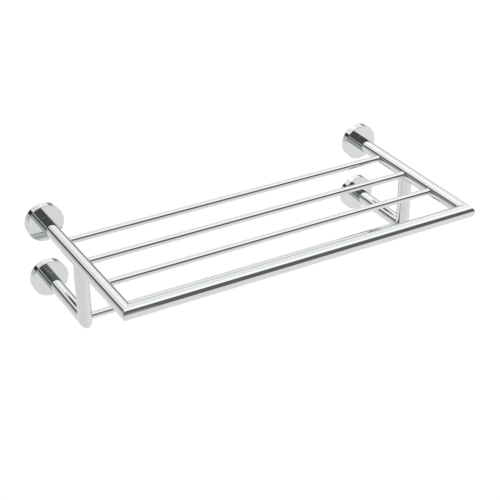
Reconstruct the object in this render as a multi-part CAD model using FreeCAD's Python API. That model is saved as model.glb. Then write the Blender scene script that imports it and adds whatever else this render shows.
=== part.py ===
import FreeCAD, Part
import math
import os

# Wall-mounted towel rack: a shelf of tubes and rods with a towel bar below it.
# Millimetres. The wall is the plane y = 0 and the rack stands out towards -Y.
# +X runs to the right seen from the front, +Z is up.
# The origin is on the wall, midway between the four mounting points.

V = FreeCAD.Vector
X = V(1, 0, 0)
Y = V(0, 1, 0)
Z = V(0, 0, 1)

# Overall layout
RAIL_SPACING = 530.0
LEVEL_SPACING = 90.0
FRONT_RAIL_Y = -275.4
ROD_Y = {"rear": -73.0, "middle": -136.5, "front": -200.0}
POST_Y = -132.0
TOWEL_BAR_Z = -43.0

# Tubes
TUBE_OD = 20.0
TUBE_WALL = 1.2
ROD_OD = 10.0
ROD_WALL = 1.0
ROD_ENTRY = 2.5
BRAZE_GAP = 0.05

# Rosettes: deep cups that cover the wall brackets
ROSETTE_OD = 55.0
ROSETTE_DEPTH = 11.0
ROSETTE_FACE = 3.0
ROSETTE_RIM = 0.8

# Wall brackets: grooved discs screwed to the wall
BRACKET_OD = 45.0
BRACKET_THICK = 6.5
BRACKET_BORE = 16.0
BRACKET_SLACK = 0.1
GROOVE_Y = -3.5
GROOVE_DEPTH = 1.5
WALL_SCREW_OFFSET = 16.0
WALL_SCREW_HOLE = 4.5
COUNTERSINK = 9.0

# Tube inserts and the M6 screws that clamp the rosettes on
INSERT_LENGTH = 14.0
CLAMP_D = 6.0
CLAMP_LENGTH = 16.0
CLAMP_HEAD_D = 10.0
CLAMP_HEAD_H = 4.0
CLAMP_SOCKET = 4.0
CLAMP_SOCKET_DEPTH = 2.3
CLAMP_HOLE = 6.5
WASHER_OD = 11.8
WASHER_ID = 6.2
WASHER_THICK = 1.5
WASHER_SLIT = 1.2

# M5 grub screws that lock each rosette to its bracket
GRUB_D = 5.0
GRUB_LENGTH = 6.0
GRUB_TIP_D = 0.6
GRUB_SOCKET = 2.5
GRUB_SOCKET_DEPTH = 2.4
THREAD_GAP = 0.05

# Derived positions
RAIL_X = RAIL_SPACING / 2
LEVEL_Z = LEVEL_SPACING / 2
TUBE_R = TUBE_OD / 2
ROSETTE_R = ROSETTE_OD / 2
BRACKET_R = BRACKET_OD / 2
CUP_R = BRACKET_R + BRACKET_SLACK
CUP_FLOOR_Y = ROSETTE_FACE - ROSETTE_DEPTH
ROD_END_X = RAIL_X - TUBE_R + ROD_ENTRY
SIDES = {"left": -1, "right": 1}
LEVELS = {"upper": 1, "lower": -1}


def tube(start, end, od, wall):
    """A round tube with square ends between two points."""
    way = end - start
    outer = Part.makeCylinder(od / 2, way.Length, start, way)
    bore = Part.makeCylinder(od / 2 - wall, way.Length, start, way)
    return outer.cut(bore)


def mitre(shape, corner, own, other):
    """Cut a tube back to the plane it shares with the tube leaving the same corner."""
    waste = Part.makeCylinder(2 * TUBE_OD, 3 * TUBE_OD, corner, other - own)
    return shape.cut(waste)


def turned(profile):
    """A solid of revolution about the Y axis from a closed list of radius, y pairs."""
    points = [V(radius, y, 0) for radius, y in profile]
    face = Part.Face(Part.makePolygon(points + points[:1]))
    return face.revolve(V(0, 0, 0), Y, 360)


def circles(shape, radius, y):
    """The circular edges about the Y axis with this radius at this height."""
    found = []
    for edge in shape.Edges:
        if not isinstance(edge.Curve, Part.Circle):
            continue
        same_radius = abs(edge.Curve.Radius - radius) < 1e-6
        same_y = abs(edge.Curve.Center.y - y) < 1e-6
        if same_radius and same_y:
            found.append(edge)
    return found


def hexagon(centre, axis, across_flats, depth):
    """A hexagonal prism for a key socket; X is one of its corner directions."""
    side = axis.cross(X)
    reach = across_flats / math.sqrt(3)
    points = []
    for step in range(7):
        turn = math.radians(60 * step)
        points.append(centre + X * (reach * math.cos(turn)) + side * (reach * math.sin(turn)))
    return Part.Face(Part.makePolygon(points)).extrude(axis * depth)


def front_rail():
    """Front tube of the shelf, mitred to both side rails."""
    reach = X * (RAIL_X + TUBE_OD)
    middle = V(0, FRONT_RAIL_Y, LEVEL_Z)
    rail = tube(middle - reach, middle + reach, TUBE_OD, TUBE_WALL)
    for side in SIDES.values():
        rail = mitre(rail, middle + X * (side * RAIL_X), X * -side, Y)
    return rail


def cross_rod(y, z):
    """Thin tube running from side to side, its ends let into the side tubes."""
    return tube(V(-ROD_END_X, y, z), V(ROD_END_X, y, z), ROD_OD, ROD_WALL)


def rod_hole(y, z):
    """The hole for a rod end in the inner wall of a tube on the left."""
    start = V(TUBE_R + 2 - RAIL_X, y, z)
    return Part.makeCylinder(ROD_OD / 2 + BRAZE_GAP, TUBE_R, start, -X)


def left_side_rail():
    """Upper tube from a rosette to the front corner, drilled for the shelf rods."""
    corner = V(-RAIL_X, FRONT_RAIL_Y, LEVEL_Z)
    wall_end = V(-RAIL_X, -ROSETTE_DEPTH, LEVEL_Z)
    rail = tube(wall_end, corner - Y * TUBE_OD, TUBE_OD, TUBE_WALL)
    rail = mitre(rail, corner, Y, X)
    for y in ROD_Y.values():
        rail = rail.cut(rod_hole(y, LEVEL_Z))
    return rail


def left_lower_arm():
    """Lower tube from a rosette to the elbow, half drilled for the towel bar."""
    elbow = V(-RAIL_X, POST_Y, -LEVEL_Z)
    wall_end = V(-RAIL_X, -ROSETTE_DEPTH, -LEVEL_Z)
    arm = tube(wall_end, elbow - Y * TUBE_OD, TUBE_OD, TUBE_WALL)
    return mitre(arm, elbow, Y, Z).cut(rod_hole(POST_Y, TOWEL_BAR_Z))


def left_post():
    """Upright from the elbow to the side rail, coped to sit against its underside."""
    elbow = V(-RAIL_X, POST_Y, -LEVEL_Z)
    upright = tube(elbow - Z * TUBE_OD, V(-RAIL_X, POST_Y, LEVEL_Z), TUBE_OD, TUBE_WALL)
    upright = mitre(upright, elbow, Z, Y)
    cope_start = V(-RAIL_X, POST_Y - TUBE_OD, LEVEL_Z)
    upright = upright.cut(Part.makeCylinder(TUBE_R, 2 * TUBE_OD, cope_start, Y))
    upright = upright.cut(rod_hole(POST_Y, TOWEL_BAR_Z))
    return upright.cut(rod_hole(ROD_Y["middle"], LEVEL_Z))


def rosette():
    """Deep cup with a clamp hole in its face and a threaded hole in its lower wall."""
    hole_r = CLAMP_HOLE / 2
    cup = turned([
        (hole_r, -ROSETTE_DEPTH),
        (ROSETTE_R, -ROSETTE_DEPTH),
        (ROSETTE_R, 0),
        (CUP_R, 0),
        (CUP_R, CUP_FLOOR_Y),
        (hole_r, CUP_FLOOR_Y),
    ])
    cup = cup.makeFillet(ROSETTE_RIM, circles(cup, ROSETTE_R, -ROSETTE_DEPTH))
    start = V(0, GROOVE_Y, -ROSETTE_R - 1)
    return cup.cut(Part.makeCylinder(GRUB_D / 2 + THREAD_GAP, ROSETTE_R - CUP_R + 3, start, Z))


def wall_bracket():
    """Grooved disc with a bore for the clamp screw head and two wall screw holes."""
    bore_r = BRACKET_BORE / 2
    disc = turned([
        (bore_r, -BRACKET_THICK),
        (BRACKET_R, -BRACKET_THICK),
        (BRACKET_R, GROOVE_Y - GROOVE_DEPTH),
        (BRACKET_R - GROOVE_DEPTH, GROOVE_Y),
        (BRACKET_R, GROOVE_Y + GROOVE_DEPTH),
        (BRACKET_R, 0),
        (bore_r, 0),
    ])
    sink_depth = (COUNTERSINK - WALL_SCREW_HOLE) / 2
    for side in SIDES.values():
        front = V(side * WALL_SCREW_OFFSET, -BRACKET_THICK, 0)
        disc = disc.cut(Part.makeCylinder(WALL_SCREW_HOLE / 2, BRACKET_THICK, front, Y))
        disc = disc.cut(Part.makeCone(COUNTERSINK / 2, WALL_SCREW_HOLE / 2, sink_depth, front, Y))
    return disc


def tube_insert():
    """Threaded plug brazed into the wall end of a tube."""
    radius = TUBE_R - TUBE_WALL - BRAZE_GAP
    bore_r = CLAMP_D / 2 + THREAD_GAP
    back = -ROSETTE_DEPTH - INSERT_LENGTH
    return turned([
        (bore_r + 0.5, -ROSETTE_DEPTH),
        (radius, -ROSETTE_DEPTH),
        (radius, back + 0.8),
        (radius - 0.8, back),
        (bore_r, back),
        (bore_r, -ROSETTE_DEPTH - 0.5),
    ])


def clamp_screw():
    """Low-head socket screw that pulls the rosette against the tube insert."""
    seat = CUP_FLOOR_Y + WASHER_THICK
    top = seat + CLAMP_HEAD_H
    tip = seat - CLAMP_LENGTH
    head_r = CLAMP_HEAD_D / 2
    shank_r = CLAMP_D / 2
    screw = turned([
        (0, top),
        (head_r - 0.4, top),
        (head_r, top - 0.4),
        (head_r, seat),
        (shank_r, seat),
        (shank_r, tip + 0.7),
        (shank_r - 0.7, tip),
        (0, tip),
    ])
    return screw.cut(hexagon(V(0, top, 0), -Y, CLAMP_SOCKET, CLAMP_SOCKET_DEPTH))


def lock_washer():
    """Split spring washer under the clamp screw head."""
    ring = turned([
        (WASHER_ID / 2, CUP_FLOOR_Y),
        (WASHER_OD / 2, CUP_FLOOR_Y),
        (WASHER_OD / 2, CUP_FLOOR_Y + WASHER_THICK),
        (WASHER_ID / 2, CUP_FLOOR_Y + WASHER_THICK),
    ])
    corner = V(-WASHER_SLIT / 2, CUP_FLOOR_Y, 0)
    return ring.cut(Part.makeBox(WASHER_SLIT, WASHER_THICK, WASHER_OD, corner))


def grub_screw():
    """Cone-point screw entering the bracket groove from below."""
    apex = -(BRACKET_R - GROOVE_DEPTH + BRACKET_SLACK)
    foot = apex - GRUB_LENGTH
    radius = GRUB_D / 2
    tip_r = GRUB_TIP_D / 2
    shank = Part.makeCylinder(radius, GRUB_LENGTH - radius, V(0, GROOVE_Y, foot), Z)
    point = Part.makeCone(radius, tip_r, radius - tip_r, V(0, GROOVE_Y, apex - radius), Z)
    socket = hexagon(V(0, GROOVE_Y, foot), Z, GRUB_SOCKET, GRUB_SOCKET_DEPTH)
    return shank.fuse(point).cut(socket)


def placed(shape, side, level):
    """A copy of a fixing moved to one of the four mounting points."""
    copy = shape.copy()
    copy.translate(V(side * RAIL_X, 0, level * LEVEL_Z))
    return copy


def all_pieces():
    """Every piece of the rack by name."""
    pieces = {"front_rail": front_rail(), "towel_bar": cross_rod(POST_Y, TOWEL_BAR_Z)}
    for name, y in ROD_Y.items():
        pieces[name + "_shelf_rod"] = cross_rod(y, LEVEL_Z)
    left_tubes = {"side_rail": left_side_rail(), "lower_arm": left_lower_arm(), "post": left_post()}
    for name, shape in left_tubes.items():
        pieces["left_" + name] = shape
        pieces["right_" + name] = shape.mirror(V(0, 0, 0), X)
    fixings = {
        "rosette": rosette(),
        "wall_bracket": wall_bracket(),
        "tube_insert": tube_insert(),
        "clamp_screw": clamp_screw(),
        "lock_washer": lock_washer(),
        "grub_screw": grub_screw(),
    }
    for level_name, level in LEVELS.items():
        for side_name, side in SIDES.items():
            for name, shape in fixings.items():
                pieces[level_name + "_" + side_name + "_" + name] = placed(shape, side, level)
    return pieces


os.makedirs("parts", exist_ok=True)
for node, piece in all_pieces().items():
    piece.exportStep("parts/" + node + ".step")
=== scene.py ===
import math

import bmesh
import bpy
import numpy as np
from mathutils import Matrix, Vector


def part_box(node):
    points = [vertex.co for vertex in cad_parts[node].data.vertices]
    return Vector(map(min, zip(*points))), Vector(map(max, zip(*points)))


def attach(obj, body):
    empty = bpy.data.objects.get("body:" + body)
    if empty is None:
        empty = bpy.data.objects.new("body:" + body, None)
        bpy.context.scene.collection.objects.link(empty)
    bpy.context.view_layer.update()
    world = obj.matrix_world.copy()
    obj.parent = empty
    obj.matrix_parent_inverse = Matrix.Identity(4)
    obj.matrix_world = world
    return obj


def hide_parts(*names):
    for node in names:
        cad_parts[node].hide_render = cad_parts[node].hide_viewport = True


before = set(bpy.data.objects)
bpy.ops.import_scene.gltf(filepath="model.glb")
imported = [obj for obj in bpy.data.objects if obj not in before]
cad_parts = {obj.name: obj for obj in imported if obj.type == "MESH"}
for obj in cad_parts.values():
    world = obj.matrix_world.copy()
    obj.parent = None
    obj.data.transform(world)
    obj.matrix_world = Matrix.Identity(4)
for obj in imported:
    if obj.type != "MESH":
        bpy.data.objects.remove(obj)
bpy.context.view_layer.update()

# The looks of a wall-mounted chrome towel rack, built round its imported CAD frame. Metres.
# The wall is the plane y = 0, the rack stands out towards -Y, +X is to the right, +Z is up.

X = np.array((1.0, 0.0, 0.0))
Y = np.array((0.0, 1.0, 0.0))
Z = np.array((0.0, 0.0, 1.0))
BOX_DECIMALS = 4


def node_box(node):
    """Lowest and highest corner of a CAD node, to the nearest 0.1 mm because its mesh is faceted."""
    low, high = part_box(node)
    return np.round(np.array(low), BOX_DECIMALS), np.round(np.array(high), BOX_DECIMALS)


def middle(node):
    low, high = node_box(node)
    return (low + high) / 2


def extent(node):
    low, high = node_box(node)
    return high - low


# Sizes taken from the frame
TUBE_R = extent("front_rail")[2] / 2
ROD_R = extent("towel_bar")[2] / 2
ROSETTE_R = extent("upper_right_rosette")[0] / 2
ROSETTE_DEPTH = extent("upper_right_rosette")[1]
BRACKET_R = extent("upper_right_wall_bracket")[0] / 2
GRUB_R = extent("upper_right_grub_screw")[0] / 2
RAIL_X = middle("upper_right_rosette")[0]
LEVEL_Z = middle("upper_right_rosette")[2]
FRONT_Y = middle("front_rail")[1]
POST_Y = middle("left_post")[1]
TOWEL_BAR_Z = middle("towel_bar")[2]
ROD_END_X = node_box("towel_bar")[1][0]
GRUB_Y = middle("upper_right_grub_screw")[1]
CUP_FLOOR_Y = node_box("upper_right_lock_washer")[0][1]

# Thicknesses and edge work. GUARD is how far a plain ring stands from an edge, to keep the shading
# beside it flat, and BURIED how deep a fillet's toe goes below the surface that it meets. The grub
# screw's cutter starts CUTTER_BELOW outside the rosette's skin and ends CUTTER_INSIDE its cup.
TUBE_WALL = 0.0012
ROD_WALL = 0.0010
MITRE_ROUND = 0.0006
BRAZE = 0.0006
TUBE_EDGE = 0.00025
GUARD = 0.0003
BURIED = 0.00008
ROSETTE_RIM = 0.0008
ROSETTE_EDGE = 0.0002
CUP_SLACK = 0.0001
CLAMP_HOLE_R = 0.00325
GRUB_GAP = 0.00005
GRUB_FLARE = 0.0003
CUTTER_BELOW = 0.0010
CUTTER_INSIDE = 0.0015

# How finely round things are divided
TUBE_STEPS = 160
ROD_STEPS = 112
ROSETTE_STEPS = 256
GRUB_HOLE_STEPS = 48
EDGE_STEPS = 8
RIM_STEPS = 12
BACK_EDGE_STEPS = 4
MERGE_DISTANCE = 1e-7
SHARP_ANGLE = math.radians(28)

# Camera
CAMERA_YAW = math.radians(30)
CAMERA_PITCH = math.radians(30)
CAMERA_DISTANCE = 1.8418
CAMERA_AIM = Vector((-0.01055, 0.0019, -0.0063))
CAMERA_LENS = 92.93
SENSOR_WIDTH = 36.0

# Studio floor. Its glow is painted light, brighter towards the back right: it rises from one strength to
# the other between two places along a way.
FLOOR_DROP = 2.0
FLOOR_EDGE_ANGLE = math.radians(14)
FLOOR_SIDES = 96
FLOOR_GREY = (0.12, 0.12, 0.12, 1.0)
FLOOR_PAINTED_GLOW = (1.02, 1.18)
FLOOR_PAINTED_GLOW_RISE = (-4.5, 3.0)
FLOOR_PAINTED_GLOW_WAY = (1.0, 0.7, 0.0)

# Studio light: a tent of even radiance, painted patch over patch. Each patch has its radiance, then
# how much it covers of each coordinate of the direction from the rack: where it starts to show,
# shows in full, starts to fade and is gone. OPEN stands for no limit on that side.
# Besides x, y and z, a patch may follow one of three coordinates that lean: slant is z plus a share
# of y, and rise and forward are z and y less an offset that changes from left to right.
OPEN = (None, None)
SLANT_OF_Y = 0.5
RISE_OFFSET = (-0.4, 0.2, -0.21, -0.11)
FORWARD_OFFSET = (-0.4, 0.1, 0.25, 0.0)
TENT = 1.42
WHITE = (1.0, 1.0, 1.0, 1.0)
CAMERA_WHITE = 1.03
PALE_PANELS = (
    (1.86, {"y": (-0.60, -0.36, -0.22, 0.02), "z": (0.15, 0.40, *OPEN)}),
    (1.22, {"x": (-0.42, -0.30, -0.14, 0.0), "y": (0.70, 0.82, *OPEN)}),
    (1.56, {"x": (-0.05, 0.15, *OPEN), "y": (0.60, 0.78, *OPEN), "z": (0.26, 0.36, *OPEN)}),
    (1.62, {"x": (0.46, 0.60, *OPEN), "y": (0.0, 0.2, *OPEN), "z": (0.20, 0.32, *OPEN)}),
    (1.95, {"x": (-0.14, -0.02, 0.10, 0.30), "y": (0.5, 0.6, 0.72, 0.82)}),
)
GREY_PANELS_BEHIND_LEFT = (
    (0.84, {"x": (*OPEN, -0.15, 0.05), "y": (0.60, 0.67, *OPEN), "slant": (*OPEN, 0.74, 0.80)}),
    (0.60, {"x": (*OPEN, -0.15, 0.05), "y": (0.60, 0.67, 0.68, 0.79), "slant": (*OPEN, 0.74, 0.80)}),
    (1.20, {"x": (*OPEN, -0.15, 0.05), "y": (0.60, 0.67, *OPEN), "z": (*OPEN, -0.24, 0.04)}),
)
DARK_BEAMS_ON_THE_LEFT = (
    (0.05, {"x": (*OPEN, -0.15, 0.05), "y": (0.60, 0.67, *OPEN), "slant": (0.58, 0.64, 0.79, 0.84)}),
    (0.12, {"x": (*OPEN, -0.70, -0.55), "y": (*OPEN, 0.58, 0.66), "z": (0.05, 0.15, 0.80, 0.90)}),
)
GREY_PANELS_BEHIND_RIGHT = (
    (0.92, {"x": (0.35, 0.50, *OPEN), "y": (0.60, 0.76, 0.76, 0.84), "z": (*OPEN, 0.0, 0.1)}),
    (0.40, {"x": (-0.05, 0.15, *OPEN), "y": (0.60, 0.76, *OPEN), "z": (-0.12, 0.0, 0.19, 0.31)}),
)
DARK_GAP_IN_FRONT = (
    (1.22, {"y": (*OPEN, -0.6, -0.3), "z": (*OPEN, 0.0, 0.1)}),
    (0.19, {"forward": (*OPEN, -0.60, -0.52), "rise": (-0.02, 0.02, *OPEN)}),
)
LIGHT_SLOTS_IN_THE_GAP = (
    (0.44, {"x": (0.1, 0.2, 0.352, 0.362), "z": (*OPEN, 0.05, 0.50)}),
    (1.70, {"x": (*OPEN, -0.40, -0.10), "z": (0.09, 0.13, 0.19, 0.25)}),
)
PAINTED_IN_TURN = (
    PALE_PANELS,
    GREY_PANELS_BEHIND_LEFT,
    DARK_BEAMS_ON_THE_LEFT,
    GREY_PANELS_BEHIND_RIGHT,
    DARK_GAP_IN_FRONT,
)


# ---------------------------------------------------------------- mesh code

def radials(axis, count):
    """Unit vectors round an axis, evenly turned, with none of them exactly along another axis."""
    first = X if abs(axis[2]) > 0.5 else Z
    second = np.cross(axis, first)
    turns = 2 * math.pi * (np.arange(count) + 0.5) / count
    return np.outer(np.cos(turns), first) + np.outer(np.sin(turns), second)


def unit(vectors):
    return vectors / np.linalg.norm(vectors, axis=1)[:, None]


def loft(name, rings):
    """A closed skin: each ring of points is joined to the next, and the last ring to the first."""
    count = len(rings)
    around = len(rings[0])
    faces = []
    for ring in range(count):
        following = (ring + 1) % count
        for step in range(around):
            turned = (step + 1) % around
            faces.append((
                ring * around + step,
                ring * around + turned,
                following * around + turned,
                following * around + step,
            ))
    mesh = bpy.data.meshes.new(name)
    mesh.from_pydata(np.concatenate(rings).tolist(), [], faces)
    return mesh


def finished(mesh):
    """Turns a mesh's faces outward and shades it smooth, except across its real edges."""
    shape = bmesh.new()
    shape.from_mesh(mesh)
    bmesh.ops.remove_doubles(shape, verts=shape.verts, dist=MERGE_DISTANCE)
    bmesh.ops.recalc_face_normals(shape, faces=shape.faces)
    shape.to_mesh(mesh)
    shape.free()
    mesh.shade_smooth()
    mesh.set_sharp_from_angle(angle=SHARP_ANGLE)
    return mesh


def joined(start, end):
    """The rings of a hollow tube, out along its skin and back along its bore.

    Each end is a list of skin rings, from the middle of the tube to its end, and one bore ring.
    """
    start_skin, start_bore = start
    end_skin, end_bore = end
    return start_skin[::-1] + end_skin + [end_bore, start_bore]


def square_end(point, own, around, radius, bore):
    """A square tube end with its outer edge broken; own points along the tube, away from the end."""
    skin = [point + own * (TUBE_EDGE + GUARD) + around * radius]
    for step in range(EDGE_STEPS + 1):
        turn = math.radians(90) * step / EDGE_STEPS
        reach = radius - TUBE_EDGE + TUBE_EDGE * math.cos(turn)
        skin.append(point + own * (TUBE_EDGE - TUBE_EDGE * math.sin(turn)) + around * reach)
    return skin, point + around * bore


def mitred_end(corner, own, other, around, radius, bore):
    """A tube end cut at a mitre and rounded over; own and other point away from the corner."""
    def cut(size):
        return corner + around * size + np.outer(around @ other, own) * size

    edge = cut(radius)
    skin = [edge + own * (MITRE_ROUND + GUARD)]
    for step in range(EDGE_STEPS + 1):
        turn = math.radians(45) * step / EDGE_STEPS
        inward = own + other - other * math.cos(turn) - own * math.sin(turn)
        skin.append(edge + inward * MITRE_ROUND)
    return skin, cut(bore)


def brazed_skin(meets, normals, way, around, size):
    """Skin rings that flare a tube's end out onto another surface, as a fillet of braze does.

    The tube runs along way and its lines meet the surface, which has those normals.
    """
    across = unit(np.cross(normals, around))
    away = np.cross(across, normals)
    away = away * np.sign(np.sum(away * around, axis=1))[:, None]
    opening = np.arccos(np.clip(-(away @ way), -1, 1))
    set_back = (size / np.tan(opening / 2))[:, None]
    outward = unit(away - np.outer(away @ way, way))
    start = meets - way * set_back
    centre = start + outward * size
    skin = [start - way * GUARD]
    for step in range(EDGE_STEPS + 1):
        turn = ((math.pi - opening) * step / EDGE_STEPS)[:, None]
        skin.append(centre - size * (outward * np.cos(turn) - way * np.sin(turn)))
    skin.append(skin[-1] - normals * BURIED)
    return skin


def piece_of(mesh, node, suffix, material):
    """Adds a chrome piece that stands for one CAD node and rides with the rack."""
    piece = bpy.data.objects.new(node + suffix, finished(mesh))
    bpy.context.scene.collection.objects.link(piece)
    piece.data.materials.append(material)
    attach(piece, "root")
    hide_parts(node)
    return piece


# ---------------------------------------------------------------- tubes and rods

def side_rail(side):
    """Upper tube from a rosette to the front corner."""
    around = radials(Y, TUBE_STEPS)
    bore = TUBE_R - TUBE_WALL
    corner = X * side * RAIL_X + Y * FRONT_Y + Z * LEVEL_Z
    wall_end = X * side * RAIL_X - Y * ROSETTE_DEPTH + Z * LEVEL_Z
    front = mitred_end(corner, Y, X * -side, around, TUBE_R, bore)
    back = square_end(wall_end, -Y, around, TUBE_R, bore)
    return joined(front, back)


def front_rail():
    """Front tube of the shelf, mitred to both side rails."""
    around = radials(X, TUBE_STEPS)
    bore = TUBE_R - TUBE_WALL
    corner = Y * FRONT_Y + Z * LEVEL_Z
    left = mitred_end(corner - X * RAIL_X, X, Y, around, TUBE_R, bore)
    right = mitred_end(corner + X * RAIL_X, -X, Y, around, TUBE_R, bore)
    return joined(left, right)


def lower_arm(side):
    """Lower tube from a rosette to the elbow."""
    around = radials(Y, TUBE_STEPS)
    bore = TUBE_R - TUBE_WALL
    elbow = X * side * RAIL_X + Y * POST_Y - Z * LEVEL_Z
    wall_end = X * side * RAIL_X - Y * ROSETTE_DEPTH - Z * LEVEL_Z
    front = mitred_end(elbow, Y, Z, around, TUBE_R, bore)
    back = square_end(wall_end, -Y, around, TUBE_R, bore)
    return joined(front, back)


def post(side):
    """Upright from the elbow to the underside of the side rail, brazed to it all round."""
    around = radials(Z, TUBE_STEPS)
    bore = TUBE_R - TUBE_WALL
    elbow = X * side * RAIL_X + Y * POST_Y - Z * LEVEL_Z
    foot = mitred_end(elbow, Z, Y, around, TUBE_R, bore)

    def under_rail(size):
        sideways = around[:, 0] * size
        height = LEVEL_Z - np.sqrt(TUBE_R ** 2 - sideways ** 2)
        points = X * side * RAIL_X + Y * POST_Y + around * size
        points[:, 2] = height
        return points

    meets = under_rail(TUBE_R)
    rail_axis = X * side * RAIL_X + Z * LEVEL_Z
    normals = unit((meets - rail_axis) * (X + Z))
    head = brazed_skin(meets, normals, Z, around, BRAZE)
    return joined(foot, (head, under_rail(bore)))


def cross_rod(y, z, surface):
    """Thin tube from side to side; surface gives where its right end meets, and the normals there."""
    around = radials(X, ROD_STEPS)
    bore = ROD_R - ROD_WALL
    ends = []
    for side in (-1, 1):
        outline = Y * y + Z * z + around * ROD_R
        inset, normals = surface(outline)
        meets = outline + np.outer(RAIL_X - inset, X)
        skin = brazed_skin(meets, normals, X, around, BRAZE)
        flip = np.array((side, 1.0, 1.0))
        tip = X * ROD_END_X + Y * y + Z * z
        skin.append(tip + around * ROD_R)
        ends.append(([ring * flip for ring in skin], (tip + around * bore) * flip))
    return joined(*ends)


def onto_side_rail(outline):
    """Where lines along X meet the side rail: their distance from its axis plane, and the normals."""
    height = outline[:, 2] - LEVEL_Z
    inset = np.sqrt(TUBE_R ** 2 - height ** 2)
    return inset, unit(np.outer(-inset, X) + np.outer(height, Z))


def onto_elbow(outline):
    """Where lines along X meet the elbow: its arm below the mitre plane, its post above it."""
    forward = outline[:, 1] - POST_Y
    height = outline[:, 2] + LEVEL_Z
    on_arm = forward > height
    offset = np.where(on_arm, height, forward)
    inset = np.sqrt(TUBE_R ** 2 - offset ** 2)
    sideways = np.where(on_arm[:, None], np.outer(height, Z), np.outer(forward, Y))
    return inset, unit(np.outer(-inset, X) + sideways)


# ---------------------------------------------------------------- rosettes

def arc(centre_r, centre_y, size, start, end, steps):
    """Points of a round edge, as radius and y, from one angle to another in degrees."""
    points = []
    for step in range(steps + 1):
        turn = math.radians(start + (end - start) * step / steps)
        points.append((centre_r + size * math.cos(turn), centre_y + size * math.sin(turn)))
    return points


def rosette_profile():
    """The cup's section as radius and y: face, rim, side, back edge, mouth and floor."""
    cup_r = BRACKET_R + CUP_SLACK
    edge = ROSETTE_EDGE
    rim = ROSETTE_RIM
    profile = [(CLAMP_HOLE_R, -ROSETTE_DEPTH), (ROSETTE_R - rim - GUARD, -ROSETTE_DEPTH)]
    profile += arc(ROSETTE_R - rim, rim - ROSETTE_DEPTH, rim, -90, 0, RIM_STEPS)
    profile += [(ROSETTE_R, rim - ROSETTE_DEPTH + GUARD), (ROSETTE_R, -edge - GUARD)]
    profile += arc(ROSETTE_R - edge, -edge, edge, 0, 90, BACK_EDGE_STEPS)
    profile += arc(cup_r + edge, -edge, edge, 90, 180, BACK_EDGE_STEPS)
    profile += [(cup_r, -edge - GUARD), (cup_r, CUP_FLOOR_Y), (CLAMP_HOLE_R, CUP_FLOOR_Y)]
    return profile


def turned(name, profile, axis_point, steps):
    """A closed solid of revolution about a line along Y."""
    around = radials(Y, steps)
    return loft(name, [axis_point + around * radius + Y * y for radius, y in profile])


def grub_cutter(x, z):
    """The round hole for a grub screw, flared where it leaves the rosette's lower side."""
    around = radials(Z, GRUB_HOLE_STEPS)
    hole_r = GRUB_R + GRUB_GAP
    axis = X * x + Y * GRUB_Y
    shape = bmesh.new()
    stations = [
        (hole_r + GRUB_FLARE + CUTTER_BELOW, z - ROSETTE_R - CUTTER_BELOW),
        (hole_r + GRUB_FLARE, z - ROSETTE_R),
        (hole_r, z - ROSETTE_R + GRUB_FLARE),
        (hole_r, z - BRACKET_R + CUTTER_INSIDE),
    ]
    rings = []
    for radius, height in stations:
        ring = [shape.verts.new(axis + Z * height + way * radius) for way in around]
        rings.append(ring)
    for low, high in zip(rings[:-1], rings[1:]):
        for step in range(len(low)):
            turned_step = (step + 1) % len(low)
            shape.faces.new((low[step], low[turned_step], high[turned_step], high[step]))
    shape.faces.new(rings[0])
    shape.faces.new(rings[-1])
    bmesh.ops.recalc_face_normals(shape, faces=shape.faces)
    mesh = bpy.data.meshes.new("grub_cutter")
    shape.to_mesh(mesh)
    shape.free()
    return mesh


def rosette(x, z):
    """Turned cup with a threaded hole bored in its lower side."""
    plain_cup = finished(turned("cup", rosette_profile(), X * x + Z * z, ROSETTE_STEPS))
    cup = bpy.data.objects.new("cup", plain_cup)
    cutter = bpy.data.objects.new("cutter", grub_cutter(x, z))
    for made in (cup, cutter):
        bpy.context.scene.collection.objects.link(made)
    bore = cup.modifiers.new("bore", "BOOLEAN")
    bore.operation = "DIFFERENCE"
    bore.solver = "EXACT"
    bore.object = cutter
    graph = bpy.context.evaluated_depsgraph_get()
    mesh = bpy.data.meshes.new_from_object(cup.evaluated_get(graph))
    bpy.data.objects.remove(cup)
    bpy.data.objects.remove(cutter)
    return mesh


# ---------------------------------------------------------------- materials

# Noise is used over the middle of its range, where its values mostly lie
NOISE_RANGE = (0.3, 0.7)

# Chrome: base colours and brightness at grazing angles. Each noise is its scale, in cycles per
# metre, and its detail.
CHROME_DARK = (0.533, 0.546, 0.551)
CHROME_LIGHT = (0.546, 0.558, 0.562)
CHROME_EDGE = (0.81, 0.81, 0.81, 1.0)
CHROME_DRIFT = (35.0, 2.0)
CHROME_HAZE = (420.0, 6.0)
CHROME_ROUGHNESS = (0.02, 0.05)
CHROME_RIPPLE = (110.0, 1.0)
CHROME_RIPPLE_STRENGTH = 0.02
CHROME_RIPPLE_HEIGHT = 0.0002

# Hidden fixings: dark colour, light colour, roughness and turning rings per metre
ZINC_PLATE = ((0.55, 0.565, 0.59), (0.62, 0.63, 0.645), (0.24, 0.40), 2500.0)
TURNED_BRASS = ((0.62, 0.44, 0.19), (0.76, 0.58, 0.29), (0.20, 0.36), 3200.0)
SCREW_STEEL = ((0.36, 0.36, 0.38), (0.52, 0.52, 0.53), (0.24, 0.45), 4000.0)
BLOTCHES = (160.0, 4.0)
GRAIN = (900.0, 4.0)
RING_DETAIL = 3.0
RING_SHARE = 0.6
WEAR_STRENGTH = 0.25
WEAR_HEIGHT = 0.00005


def add(tree, kind, *values, **named):
    """Adds a shader node; its inputs, in order or by name, get values or links from other sockets."""
    made = tree.nodes.new(kind)
    pairs = list(zip(made.inputs, values))
    pairs += [(made.inputs[name.replace("_", " ")], value) for name, value in named.items()]
    for socket, value in pairs:
        if isinstance(value, bpy.types.NodeSocket):
            tree.links.new(value, socket)
        elif value is not None:
            socket.default_value = value
    return made


def maths(tree, operation, *values):
    made = add(tree, "ShaderNodeMath", *values)
    made.operation = operation
    return made.outputs[0]


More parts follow.
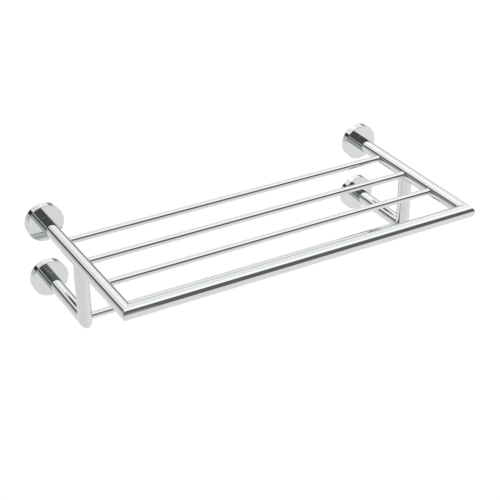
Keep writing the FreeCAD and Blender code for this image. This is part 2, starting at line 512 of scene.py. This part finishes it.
def ramp(tree, value, low, high, start=0.0, end=1.0):
    """Maps a value smoothly from low..high to start..end."""
    made = add(tree, "ShaderNodeMapRange", value, low, high, start, end)
    made.interpolation_type = "SMOOTHSTEP"
    return made.outputs["Result"]


def noise(tree, vector, scale, detail):
    made = add(tree, "ShaderNodeTexNoise", Vector=vector, Scale=scale, Detail=detail)
    return made.outputs["Fac"]


def blend_colour(tree, factor, first, second):
    made = add(tree, "ShaderNodeMix", factor)
    made.data_type = "RGBA"
    start, end = [socket for socket in made.inputs if socket.type == "RGBA"]
    start.default_value = (*first, 1.0)
    end.default_value = (*second, 1.0)
    return next(socket for socket in made.outputs if socket.type == "RGBA")


def metal(name):
    """A new metal material: its node tree, its shader and its object coordinates."""
    material = bpy.data.materials.new(name)
    material.use_nodes = True
    tree = material.node_tree
    shader = tree.nodes["Principled BSDF"]
    shader.inputs["Metallic"].default_value = 1.0
    place = tree.nodes.new("ShaderNodeTexCoord").outputs["Object"]
    return material, tree, shader, place


def bump(tree, shader, height, strength, distance):
    made = add(tree, "ShaderNodeBump", Height=height, Strength=strength, Distance=distance)
    tree.links.new(made.outputs["Normal"], shader.inputs["Normal"])


def chrome():
    """Polished plating: a cool tint that drifts a little, fine haze, and the ripple of buffed brass."""
    material, tree, shader, place = metal("polished_chrome")
    drift = noise(tree, place, *CHROME_DRIFT)
    colour = blend_colour(tree, drift, CHROME_DARK, CHROME_LIGHT)
    tree.links.new(colour, shader.inputs["Base Color"])
    shader.inputs["Specular Tint"].default_value = CHROME_EDGE
    haze = noise(tree, place, *CHROME_HAZE)
    tree.links.new(ramp(tree, haze, *NOISE_RANGE, *CHROME_ROUGHNESS), shader.inputs["Roughness"])
    ripple = noise(tree, place, *CHROME_RIPPLE)
    bump(tree, shader, ripple, CHROME_RIPPLE_STRENGTH, CHROME_RIPPLE_HEIGHT)
    return material


def from_fixing_axis(tree, place):
    """Distance from the axis of the nearest mounting point, whose fixings are all turned about it."""
    x, _, z = add(tree, "ShaderNodeSeparateXYZ", place).outputs
    across = maths(tree, "SUBTRACT", maths(tree, "ABSOLUTE", x), RAIL_X)
    up = maths(tree, "SUBTRACT", maths(tree, "ABSOLUTE", z), LEVEL_Z)
    squares = maths(tree, "ADD", maths(tree, "MULTIPLY", across, across), maths(tree, "MULTIPLY", up, up))
    return maths(tree, "SQRT", squares)


def turned_metal(name, dark, light, roughness, rings_per_metre):
    """Satin metal off a lathe: fine rings about the fixing's axis over a blotchy finish."""
    material, tree, shader, place = metal(name)
    blotches = noise(tree, place, *BLOTCHES)
    colour = blend_colour(tree, ramp(tree, blotches, *NOISE_RANGE), dark, light)
    tree.links.new(colour, shader.inputs["Base Color"])
    outward = add(tree, "ShaderNodeCombineXYZ", from_fixing_axis(tree, place)).outputs["Vector"]
    rings = noise(tree, outward, rings_per_metre, RING_DETAIL)
    grain = noise(tree, place, *GRAIN)
    turning = maths(tree, "MULTIPLY", rings, RING_SHARE)
    wear = maths(tree, "ADD", turning, maths(tree, "MULTIPLY", grain, 1.0 - RING_SHARE))
    tree.links.new(ramp(tree, wear, *NOISE_RANGE, *roughness), shader.inputs["Roughness"])
    bump(tree, shader, wear, WEAR_STRENGTH, WEAR_HEIGHT)
    return material


def dress_fixings():
    """Gives the fixings, which stay as the CAD has them, their own metals."""
    zinc = turned_metal("zinc_plate", *ZINC_PLATE)
    brass = turned_metal("turned_brass", *TURNED_BRASS)
    steel = turned_metal("screw_steel", *SCREW_STEEL)
    finishes = {"wall_bracket": zinc, "tube_insert": brass}
    for name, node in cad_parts.items():
        finish = next((made for ending, made in finishes.items() if name.endswith(ending)), steel)
        for slot in node.material_slots:
            slot.material = finish


# ---------------------------------------------------------------- studio

def cover(tree, coordinates, stretches):
    """How fully a patch of the tent shows in each direction, 0 to 1."""
    shown = 1.0
    for name, (rise_start, rise_end, fall_start, fall_end) in stretches.items():
        value = coordinates[name]
        if rise_start is not None:
            shown = maths(tree, "MULTIPLY", shown, ramp(tree, value, rise_start, rise_end))
        if fall_start is not None:
            shown = maths(tree, "MULTIPLY", shown, ramp(tree, value, fall_start, fall_end, 1.0, 0.0))
    return shown


def paint(tree, level, coordinates, patches, within=1.0):
    """Paints patches over the tent's level, in order, each only inside a limiting mask."""
    for radiance, stretches in patches:
        shown = maths(tree, "MULTIPLY", within, cover(tree, coordinates, stretches))
        level = add(tree, "ShaderNodeMix", shown, None, level, radiance).outputs[0]
    return level


def plain_to_camera(tree, shader, white_kind):
    """Lets the camera itself see plain white, while the chrome reflects the shader."""
    white = add(tree, white_kind, WHITE, CAMERA_WHITE).outputs[0]
    camera_ray = tree.nodes.new("ShaderNodeLightPath").outputs["Is Camera Ray"]
    return add(tree, "ShaderNodeMixShader", camera_ray, shader, white).outputs[0]


def studio_world():
    """A light tent with a few dark openings, seen as plain white by the camera itself."""
    world = bpy.data.worlds.new("studio")
    bpy.context.scene.world = world
    world.use_nodes = True
    tree = world.node_tree
    tree.nodes.clear()
    direction = tree.nodes.new("ShaderNodeTexCoord").outputs["Generated"]
    x, y, z = add(tree, "ShaderNodeSeparateXYZ", direction).outputs
    coordinates = {
        "x": x,
        "y": y,
        "z": z,
        "slant": maths(tree, "MULTIPLY_ADD", y, SLANT_OF_Y, z),
        "rise": maths(tree, "SUBTRACT", z, ramp(tree, x, *RISE_OFFSET)),
        "forward": maths(tree, "SUBTRACT", y, ramp(tree, x, *FORWARD_OFFSET)),
    }
    level = TENT
    for patches in PAINTED_IN_TURN:
        level = paint(tree, level, coordinates, patches)
    gap = cover(tree, coordinates, DARK_GAP_IN_FRONT[-1][1])
    level = paint(tree, level, coordinates, LIGHT_SLOTS_IN_THE_GAP, gap)
    lit = add(tree, "ShaderNodeBackground", level).outputs[0]
    add(tree, "ShaderNodeOutputWorld", plain_to_camera(tree, lit, "ShaderNodeBackground"))


def floor():
    """A pale floor, a plain disc well below the rack, whose painted glow stands for more light towards
    its back right.
    """
    radius = FLOOR_DROP / math.tan(FLOOR_EDGE_ANGLE)
    shape = bmesh.new()
    bmesh.ops.create_circle(shape, cap_ends=True, segments=FLOOR_SIDES, radius=radius)
    bmesh.ops.translate(shape, verts=shape.verts, vec=(0.0, 0.0, -FLOOR_DROP))
    mesh = bpy.data.meshes.new("floor")
    shape.to_mesh(mesh)
    shape.free()
    made = bpy.data.objects.new("floor", mesh)
    bpy.context.scene.collection.objects.link(made)
    material = bpy.data.materials.new("pale_floor")
    material.use_nodes = True
    tree = material.node_tree
    shader = tree.nodes["Principled BSDF"]
    shader.inputs["Base Color"].default_value = FLOOR_GREY
    shader.inputs["Roughness"].default_value = 1.0
    shader.inputs["Specular IOR Level"].default_value = 0.0
    shader.inputs["Emission Color"].default_value = WHITE
    place = tree.nodes.new("ShaderNodeTexCoord").outputs["Object"]
    along = add(tree, "ShaderNodeVectorMath", place, FLOOR_PAINTED_GLOW_WAY)
    along.operation = "DOT_PRODUCT"
    # Painted light: the floor glows more towards its back right, as if more light fell there
    painted_glow = ramp(tree, along.outputs["Value"], *FLOOR_PAINTED_GLOW_RISE, *FLOOR_PAINTED_GLOW)
    tree.links.new(painted_glow, shader.inputs["Emission Strength"])
    seen = plain_to_camera(tree, shader.outputs[0], "ShaderNodeEmission")
    tree.links.new(seen, tree.nodes["Material Output"].inputs["Surface"])
    mesh.materials.append(material)


def camera():
    """The camera, looking down at the rack from its front left."""
    forward = Vector((
        math.sin(CAMERA_YAW) * math.cos(CAMERA_PITCH),
        math.cos(CAMERA_YAW) * math.cos(CAMERA_PITCH),
        -math.sin(CAMERA_PITCH),
    ))
    centre = Vector((0.0, (FRONT_Y - TUBE_R) / 2, 0.0))
    data = bpy.data.cameras.new("camera")
    data.lens = CAMERA_LENS
    data.sensor_width = SENSOR_WIDTH
    made = bpy.data.objects.new("camera", data)
    made.location = centre + CAMERA_AIM - forward * CAMERA_DISTANCE
    made.rotation_euler = forward.to_track_quat("-Z", "Y").to_euler()
    bpy.context.scene.collection.objects.link(made)
    bpy.context.scene.camera = made


# ---------------------------------------------------------------- the rack

def build():
    plating = chrome()
    piece_of(loft("front_rail", front_rail()), "front_rail", "_tube", plating)
    for side_name, side in (("left", -1), ("right", 1)):
        tubes = {"side_rail": side_rail(side), "lower_arm": lower_arm(side), "post": post(side)}
        for name, rings in tubes.items():
            node = side_name + "_" + name
            piece_of(loft(node, rings), node, "_tube", plating)
    for place in ("rear", "middle", "front"):
        node = place + "_shelf_rod"
        rod = cross_rod(middle(node)[1], LEVEL_Z, onto_side_rail)
        piece_of(loft(node, rod), node, "_tube", plating)
    bar = cross_rod(POST_Y, TOWEL_BAR_Z, onto_elbow)
    piece_of(loft("towel_bar", bar), "towel_bar", "_tube", plating)
    for level_name, level in (("upper", 1), ("lower", -1)):
        for side_name, side in (("left", -1), ("right", 1)):
            node = level_name + "_" + side_name + "_rosette"
            piece_of(rosette(side * RAIL_X, level * LEVEL_Z), node, "_cup", plating)
    dress_fixings()


camera()
studio_world()
floor()
bpy.context.scene.view_settings.view_transform = "Standard"
build()
